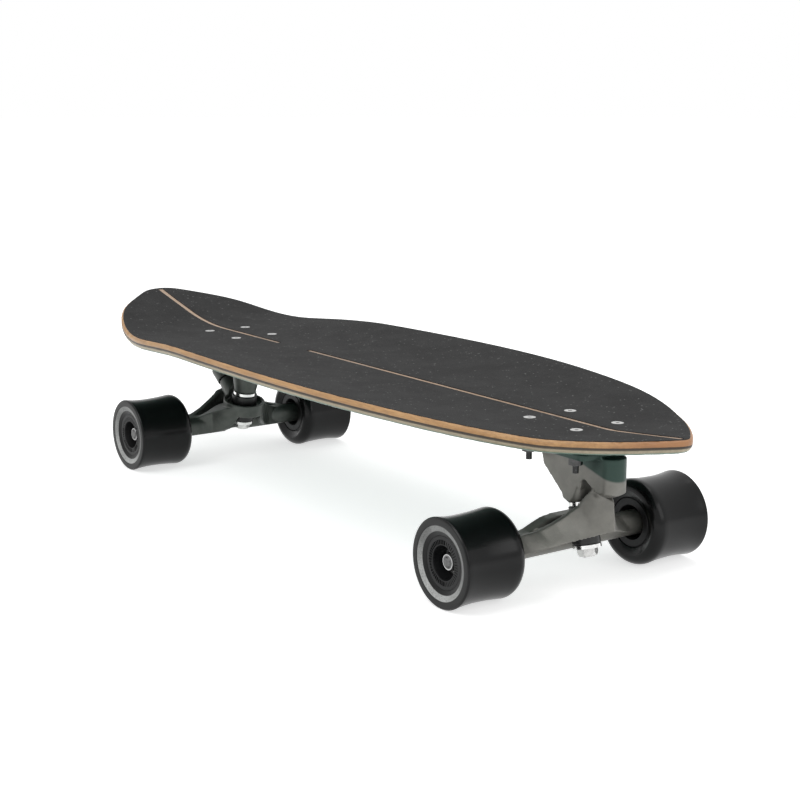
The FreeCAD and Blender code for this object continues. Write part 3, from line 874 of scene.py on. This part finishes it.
    def build(self) -> None:
        """Makes the plies and dresses every other node of the deck."""
        # Painted highlight: bright is a thin light band along the top edge of the tan plies,
        # standing in for light on their rounded edge.
        dark, bright = (0.030, 0.020, 0.011), (0.47, 0.36, 0.27)
        green = (0.12, 0.22, 0.165)
        tan = Wood("tan_plies", (0.60, 0.355, 0.155), (0.45, 0.245, 0.095), (0.22, 0.10, 0.035),
                   sheet=self.tan / 3, bands=((-1.0, 0.0001, bright), (0.0042, 1.0, dark)),
                   nose_x=0.345).material()
        brown = Wood("dark_ply", (0.050, 0.034, 0.019), (0.028, 0.019, 0.011),
                     (0.012, 0.008, 0.005), coat=0.1).material()
        base = self.tan + self.brown
        # dark, on the top of these plies and the foot of the tan plies, widens the dark ply's
        # line: partly its real stain, partly painted shade.
        pale = Wood("pale_plies", (0.50, 0.43, 0.31), (0.40, 0.34, 0.235), (0.22, 0.18, 0.11),
                    sheet=self.pale / 2,
                    bands=((0.0, base + 0.0007, dark), (base + 0.0030, 1.0, green))).material()
        teal = Wood("teal_veneer", (0.075, 0.20, 0.155), (0.045, 0.135, 0.105),
                    (0.015, 0.06, 0.045), rough=0.28, coat=0.6).material()
        top = 0.0
        layers = (("top_plies", self.tan, tan), ("dark_ply", self.brown, brown),
                  ("lower_plies", self.pale, pale), ("bottom_veneer", self.teal, teal))
        for layer, thickness, material in layers:
            self.ply(f"deck_{layer}", top, thickness, material)
            top += thickness
        dress = self.frame.dress
        dress("grip_tape", Grit().material())
        bolts = BoltSteel(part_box("grip_tape")[0].z - 0.002).material()
        nuts = Steel("bolt_nuts", (0.10, 0.10, 0.10), (0.05, 0.05, 0.05), 0.38).material()
        pads = Rubber(
            "riser_pad", (0.016, 0.030, 0.026), (0.010, 0.016, 0.014), 0.55, 0.3).material()
        for end in End:
            dress(f"{end.value}_truck_bolts", bolts)
            dress(f"{end.value}_truck_nuts", nuts)
            dress(f"{end.value}_riser_pad", pads)


@dataclass
class Truck:
    """One truck: its cast base and hanger, and the stack on its kingpin."""

    frame: Frame
    end: End
    voxel: float = 0.0008
    soft_voxel: float = 0.0004
    soften: int = 5
    # The front castings carry a painted reflection and shade: a dark teal cap on the top of the
    # base.
    front_alloy: CastMetal = CastMetal(
        "front_alloy", (0.200, 0.195, 0.176), (0.155, 0.152, 0.138), (0.40, 0.39, 0.36),
        reflected_shade_z=0.1015, reflected_shade_x=0.2985)
    # Painted shade: the rear castings take the front colours darkened to about half and tinted
    # green. This stands in for the deck's shadow over them and a reflection of its teal underside.
    rear_alloy: CastMetal = CastMetal(
        "rear_alloy", (0.096, 0.104, 0.094), (0.066, 0.074, 0.067), (0.22, 0.23, 0.21))

    def cast(self, part: str, material: bpy.types.Material, voxel: float) -> None:
        """Makes a piece with soft edges from the node's own shape.

        Args:
            part: which part of the truck.
            material: its finish.
            voxel: how fine its new mesh is.
        """
        name = f"{self.end.value}_{part}"
        piece = self.frame.stand_in(self.frame.merged(name), name, material)
        remesh = piece.modifiers.new("casting", "REMESH")
        remesh.mode = "VOXEL"
        remesh.voxel_size = voxel
        smooth = piece.modifiers.new("soft_edges", "SMOOTH")
        smooth.factor = 0.5
        smooth.iterations = self.soften
        applied(piece)
        log.info("%s: %d faces after casting", name, len(piece.data.polygons))

    def build(self) -> None:
        """Makes the castings and dresses the stack, the axle and its bearings."""
        end = self.end.value
        alloy = (self.front_alloy if self.end is End.FRONT else self.rear_alloy).material()
        self.cast("base", alloy, self.voxel)
        self.cast("hanger", alloy, self.voxel)
        chrome = Steel("plated_washers", (0.86, 0.86, 0.85), (0.74, 0.74, 0.73), 0.16, dirt=0.08)
        zinc = Steel("kingpin_steel", (0.70, 0.70, 0.69), (0.55, 0.55, 0.54), 0.26, dirt=0.15)
        # The bright ring from 5.3 to 6.0 mm is a painted highlight on the axle nuts' rim.
        axle = TurnedSteel(
            f"{end}_axle_steel", axle_of(f"{end}_left"), (0.17, 0.17, 0.17),
            (0.07, 0.07, 0.07), (0.62, 0.62, 0.62), 0.0053, 0.0060,
        )
        ring = Steel("bearing_steel", (0.40, 0.40, 0.40), (0.28, 0.28, 0.28), 0.30, dirt=0.2)
        soft = Rubber(
            "bushing_urethane", (0.016, 0.016, 0.016), (0.010, 0.010, 0.010), 0.35, 0.45)
        black = soft.material()
        for part in ("upper_bushing", "lower_bushing"):
            self.cast(part, black, self.soft_voxel)
        for material, parts in (
            (chrome.material(), ("upper_washer", "lower_washer")),
            (zinc.material(), ("kingpin", "kingpin_nut")),
            (black, ("pivot_cup",)),
            (axle.material(), ("axle", "axle_nuts", "speed_washers")),
            (ring.material(), ("bearing_inner_rings", "bearing_spacers")),
        ):
            for part in parts:
                self.frame.dress(f"{end}_{part}", material)


@dataclass
class Wheel:
    """One wheel: its tyre, its hub and the bearings in it. Lengths are in metres."""

    frame: Frame
    end: End
    side: Side
    urethane: bpy.types.Material
    hub: bpy.types.Material
    radius: float = 0.035
    waist: float = 0.0016
    waist_from_outer: float = 0.021
    lip: float = 0.0012
    shoulder: float = 0.007
    shoulder_run: float = 0.0015
    shoulder_drop: float = 0.001
    shoulder_parts: int = 8
    tread_parts: int = 12
    band: float = 0.0046
    dish: float = 0.0032
    core: float = 0.0205
    steps: int = 144
    hub_face: float = 0.0033
    mouth: float = 0.0134
    bearing: float = 0.011
    near_seat: float = 0.0144
    far_seat: float = 0.0384
    seat_depth: float = 0.007
    ribs: int = 48
    rib_depth: float = 0.0007

    @property
    def label(self) -> str:
        """The start of this wheel's node names."""
        return f"{self.end.value}_{self.side.name.lower()}"

    def spun(
        self, profile: list[tuple[float, float]], crisp: float, spread: float
    ) -> bmesh.types.BMesh:
        """Spins a closed profile about the axle and rounds its hard rings.

        Args:
            profile: distance inward from the wheel's outer plane, and radius.
            crisp: the angle between faces from which a ring is rounded, in degrees.
            spread: the width of that rounding.

        Returns:
            The new mesh.
        """
        low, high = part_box(f"{self.label}_tyre")
        x, z = axle_of(self.label)
        sign = self.side.value
        outer = high.y if sign > 0 else low.y
        bm = bmesh.new()
        ring = [bm.verts.new((x, outer - sign * depth, z + r)) for depth, r in profile]
        edges = [bm.edges.new((a, b)) for a, b in zip(ring, ring[1:] + ring[:1])]
        bmesh.ops.spin(
            bm, geom=ring + edges, cent=(x, 0, z), axis=(0, 1, 0), dvec=(0, 0, 0),
            angle=2 * math.pi, steps=self.steps, use_merge=True,
        )
        bmesh.ops.remove_doubles(bm, verts=bm.verts, dist=1e-6)
        bmesh.ops.recalc_face_normals(bm, faces=bm.faces)
        hard = [e for e in bm.edges if len(e.link_faces) == 2
                and e.calc_face_angle(0.0) > math.radians(crisp)]
        bmesh.ops.bevel(
            bm, geom=hard, offset=spread, segments=3, profile=0.5, affect="EDGES", material=-1,
        )
        return bm

    def tyre(self) -> None:
        """Makes the tyre: a waisted tread, a crisp outer lip and a round inner shoulder."""
        low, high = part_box(f"{self.label}_tyre")
        width = high.y - low.y
        first, last = self.lip, width - self.shoulder - self.shoulder_run
        profile = [(0.0, self.radius - self.lip), (first, self.radius)]
        for i in range(1, self.tread_parts):
            depth = first + (last - first) * i / self.tread_parts
            middle = self.waist_from_outer
            span = middle - first if depth < middle else last - middle
            share = 1 - ((depth - middle) / span) ** 2
            profile.append((depth, self.radius - self.waist * share))
        for i in range(self.shoulder_parts + 1):
            turn = math.radians(90 * i / self.shoulder_parts)
            profile.append((
                last + (width - last) * math.sin(turn),
                self.radius - (self.shoulder + self.shoulder_drop) * (1 - math.cos(turn)),
            ))
        inner = self.radius - self.lip - self.band
        profile += [(width - self.dish, self.core), (self.dish, self.core), (0.0, inner)]
        bm = self.spun(profile, 12.0, 0.0004)
        self.frame.stand_in(bm, f"{self.label}_tyre", self.urethane)

    def core_hub(self) -> None:
        """Makes the hub: a bored core with fine radial ribs round its outer mouth."""
        low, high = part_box(f"{self.label}_tyre")
        width, face = high.y - low.y, self.hub_face
        seat, mouth = self.bearing, self.mouth
        far, near = self.far_seat, self.near_seat
        profile = [
            (far, seat), (far - self.seat_depth, seat), (far - self.seat_depth, seat - 0.0012),
            (near + self.seat_depth, seat - 0.0012), (near + self.seat_depth, seat),
            (near, seat), (near, mouth - 0.0014), (face + 0.0012, mouth - 0.0004), (face, mouth),
            (face, mouth + 0.0006), (face, mouth + 0.0042), (face, self.core - 0.0002),
            (face + 0.0002, self.core), (width - face - 0.0008, self.core),
            (width - face, self.core - 0.0008), (width - face, mouth + 0.001),
            (width - face - 0.0012, mouth), (far, mouth - 0.0014),
        ]
        bm = self.spun(profile, 60.0, 0.00012)
        sign = self.side.value
        x, z = axle_of(self.label)
        plane = (high.y if sign > 0 else low.y) - sign * face
        ribs = []
        for f in bm.faces:
            middle = f.calc_center_median()
            reach = math.hypot(middle.x - x, middle.z - z)
            turn = math.atan2(middle.z - z, middle.x - x) * self.ribs / (2 * math.pi)
            flat = abs(middle.y - plane) < 0.00005 and f.normal.y * sign > 0.9
            if flat and mouth + 0.001 < reach < mouth + 0.0038 and turn % 1.0 < 0.5:
                ribs.append(f)
        sunk = bmesh.ops.extrude_discrete_faces(bm, faces=ribs)["faces"]
        for f in sunk:
            bmesh.ops.translate(bm, verts=f.verts, vec=(0.0, -sign * self.rib_depth, 0.0))
        piece = self.frame.stand_in(bm, f"{self.label}_core", self.hub)
        piece.data.set_sharp_from_angle(angle=math.radians(SHARP_DEGREES))

    def build(self) -> None:
        """Makes the tyre and the hub, and dresses the bearings."""
        self.tyre()
        self.core_hub()
        dress = self.frame.dress
        steel = Steel("bearing_outer", (0.48, 0.48, 0.48), (0.36, 0.36, 0.36), 0.28)
        shield = TurnedSteel(
            f"{self.label}_bearing_shield", axle_of(self.label), (0.66, 0.66, 0.66),
            (0.36, 0.36, 0.36), (0.8, 0.8, 0.8), 0.0091, 0.0097, metallic=0.0,
        )
        balls = Steel("bearing_balls", (0.75, 0.75, 0.75), (0.65, 0.65, 0.65), 0.12, dirt=0.05)
        dress(f"{self.label}_bearing_outer_rings", steel.material())
        dress(f"{self.label}_bearing_shields", shield.material())
        dress(f"{self.label}_ball_sets", balls.material())


@dataclass(frozen=True)
class Studio:
    """The white studio: floor, surroundings, lamps and camera."""

    eye: Rgb = (1.1762, -0.7963, 0.3905)
    azimuth: float = 54.6
    elevation: float = 11.7
    lens: float = 71.87
    ambient: float = 0.58
    floor_lift: float = 0.62
    floor_radius: float = 12.0
    floor_colour: Rgb = (0.86, 0.86, 0.86)
    board: Rgb = (0.1, 0.0, 0.08)
    middle: Rgb = (0.0, 0.0, 0.1)

    def camera(self) -> None:
        """Places the camera and makes it the scene's own."""
        a, e = math.radians(self.azimuth), math.radians(self.elevation)
        back = Vector((math.sin(a) * math.cos(e), -math.cos(a) * math.cos(e), math.sin(e)))
        right = Vector((math.cos(a), math.sin(a), 0.0))
        up = back.cross(right)
        data = bpy.data.cameras.new("camera")
        data.sensor_fit = "HORIZONTAL"
        data.sensor_width = 36.0
        data.lens = self.lens
        data.clip_end = 100.0
        camera = bpy.data.objects.new("camera", data)
        turn = Matrix((right, up, back)).transposed().to_4x4()
        camera.matrix_world = Matrix.Translation(Vector(self.eye)) @ turn
        bpy.context.scene.collection.objects.link(camera)
        bpy.context.scene.camera = camera

    def seen(self, tree: bpy.types.NodeTree) -> bpy.types.NodeSocket:
        """A socket that is 1 for what the camera, a reflection or a clear part sees.

        Args:
            tree: the node tree to add to.

        Returns:
            The socket.
        """
        path = tree.nodes.new("ShaderNodeLightPath")
        total = path.outputs["Is Camera Ray"]
        for name in ("Is Glossy Ray", "Is Transmission Ray"):
            most = tree.nodes.new("ShaderNodeMath")
            most.operation = "MAXIMUM"
            tree.links.new(total, most.inputs[0])
            tree.links.new(path.outputs[name], most.inputs[1])
            total = most.outputs[0]
        return total

    def surroundings(self) -> None:
        """Makes the world: white where it is seen, dimmer where it lights."""
        world = bpy.data.worlds.new("studio")
        bpy.context.scene.world = world
        world.use_nodes = True
        tree = world.node_tree
        tree.nodes.clear()
        out = tree.nodes.new("ShaderNodeOutputWorld")
        mix = tree.nodes.new("ShaderNodeMixShader")
        dim, white = tree.nodes.new("ShaderNodeBackground"), tree.nodes.new("ShaderNodeBackground")
        dim.inputs["Color"].default_value = (1.0, 1.0, 1.0, 1.0)
        dim.inputs["Strength"].default_value = self.ambient
        white.inputs["Color"].default_value = (1.0, 1.0, 1.0, 1.0)
        white.inputs["Strength"].default_value = 1.0
        tree.links.new(self.seen(tree), mix.inputs[0])
        tree.links.new(dim.outputs[0], mix.inputs[1])
        tree.links.new(white.outputs[0], mix.inputs[2])
        tree.links.new(mix.outputs[0], out.inputs[0])

    def floor(self) -> None:
        """Lays the white floor, which keeps the board's shadow."""
        bm = bmesh.new()
        bmesh.ops.create_circle(bm, cap_ends=True, radius=self.floor_radius, segments=96)
        mesh = bpy.data.meshes.new("floor")
        bm.to_mesh(mesh)
        bm.free()
        floor = bpy.data.objects.new("floor", mesh)
        bpy.context.scene.collection.objects.link(floor)
        material = bpy.data.materials.new("white_floor")
        material.use_nodes = True
        tree = material.node_tree
        tree.nodes.clear()
        out = tree.nodes.new("ShaderNodeOutputMaterial")
        matte = tree.nodes.new("ShaderNodeBsdfDiffuse")
        matte.inputs["Color"].default_value = (*self.floor_colour, 1.0)
        glow = tree.nodes.new("ShaderNodeEmission")
        scaled = tree.nodes.new("ShaderNodeMath")
        scaled.operation = "MULTIPLY"
        scaled.inputs[1].default_value = self.floor_lift
        tree.links.new(self.seen(tree), scaled.inputs[0])
        tree.links.new(scaled.outputs[0], glow.inputs["Strength"])
        both = tree.nodes.new("ShaderNodeAddShader")
        tree.links.new(matte.outputs[0], both.inputs[0])
        tree.links.new(glow.outputs[0], both.inputs[1])
        tree.links.new(both.outputs[0], out.inputs["Surface"])
        mesh.materials.append(material)

    def lamp(self, name: str, place: Rgb, aim: Rgb, size: float, power: float) -> None:
        """Hangs one soft square lamp.

        Args:
            name: the lamp's name.
            place: where it hangs.
            aim: the point it faces.
            size: the side of its square.
            power: its power, in watts.
        """
        data = bpy.data.lights.new(name, "AREA")
        data.shape = "SQUARE"
        data.size = size
        data.energy = power
        lamp = bpy.data.objects.new(name, data)
        lamp.location = Vector(place)
        lamp.rotation_euler = (Vector(aim) - Vector(place)).to_track_quat("-Z", "Y").to_euler()
        bpy.context.scene.collection.objects.link(lamp)

    def build(self) -> None:
        """Sets up the whole studio."""
        self.camera()
        self.surroundings()
        self.floor()
        self.lamp("key_lamp", (0.3, -1.7, 1.9), self.board, size=1.3, power=16.0)
        self.lamp("fill_lamp", (2.2, 0.5, 1.2), self.board, size=1.5, power=10.0)
        self.lamp("top_lamp", (-0.2, 0.4, 2.2), self.middle, size=1.6, power=12.0)
        bpy.context.scene.view_settings.view_transform = "Standard"


def main() -> None:
    """Builds the looks in order and finishes the scene."""
    logging.basicConfig(level=logging.INFO, format="%(message)s")
    frame = Frame(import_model())
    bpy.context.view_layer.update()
    Studio().build()
    Deck(frame).build()
    for end in End:
        Truck(frame, end).build()
        outer_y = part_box(f"{end.value}_left_tyre")[1].y
        urethane = WheelFinish(end, axle_of(f"{end.value}_left"), outer_y).material()
        hub = CoreFinish(end).material()
        for side in Side:
            Wheel(frame, end, side, urethane, hub).build()
    bare = sorted(set(frame.nodes) - frame.dressed)
    log.info("nodes without a finish: %s", bare)


if __name__ == "__main__":
    main()
